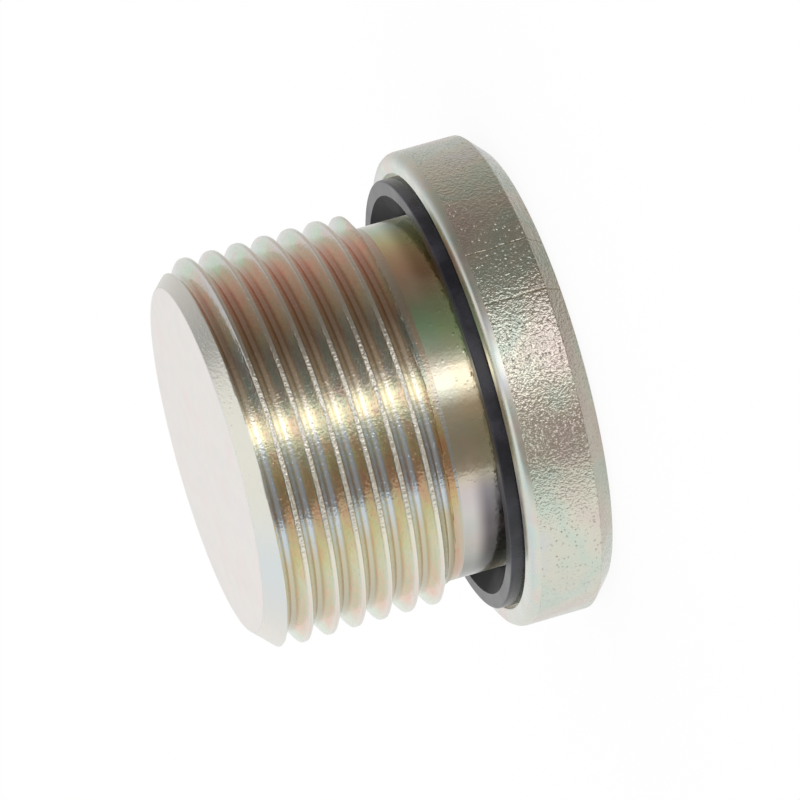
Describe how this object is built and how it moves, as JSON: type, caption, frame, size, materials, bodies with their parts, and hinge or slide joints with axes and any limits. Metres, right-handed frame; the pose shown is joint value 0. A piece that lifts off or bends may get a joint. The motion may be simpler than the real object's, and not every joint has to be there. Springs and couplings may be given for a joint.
{
  "type": "hex socket screw plug",
  "caption": "Round-headed screw plug with a metric fine thread, a hexagon socket and a captive sealing ring that closes a threaded oil or hydraulic port.",
  "frame": {"origin": "centre of the head face, on the surface that the plug stands on", "axes": "+Z along the axis of the thread, from the head to the free end; two flats of the hexagon face +Y and -Y"},
  "size_m": [0.027, 0.027, 0.019],
  "materials": {
    "plated_steel": "zinc plated with a thin iridescent passivation, glossy on the thread and neck, grainy on the side of the head",
    "seal_rubber": "smooth moulded black rubber with a faint sheen"
  },
  "bodies": {
    "root": {"plug_body": "plated_steel", "sealing_ring": "seal_rubber"}
  },
  "joints": []
}
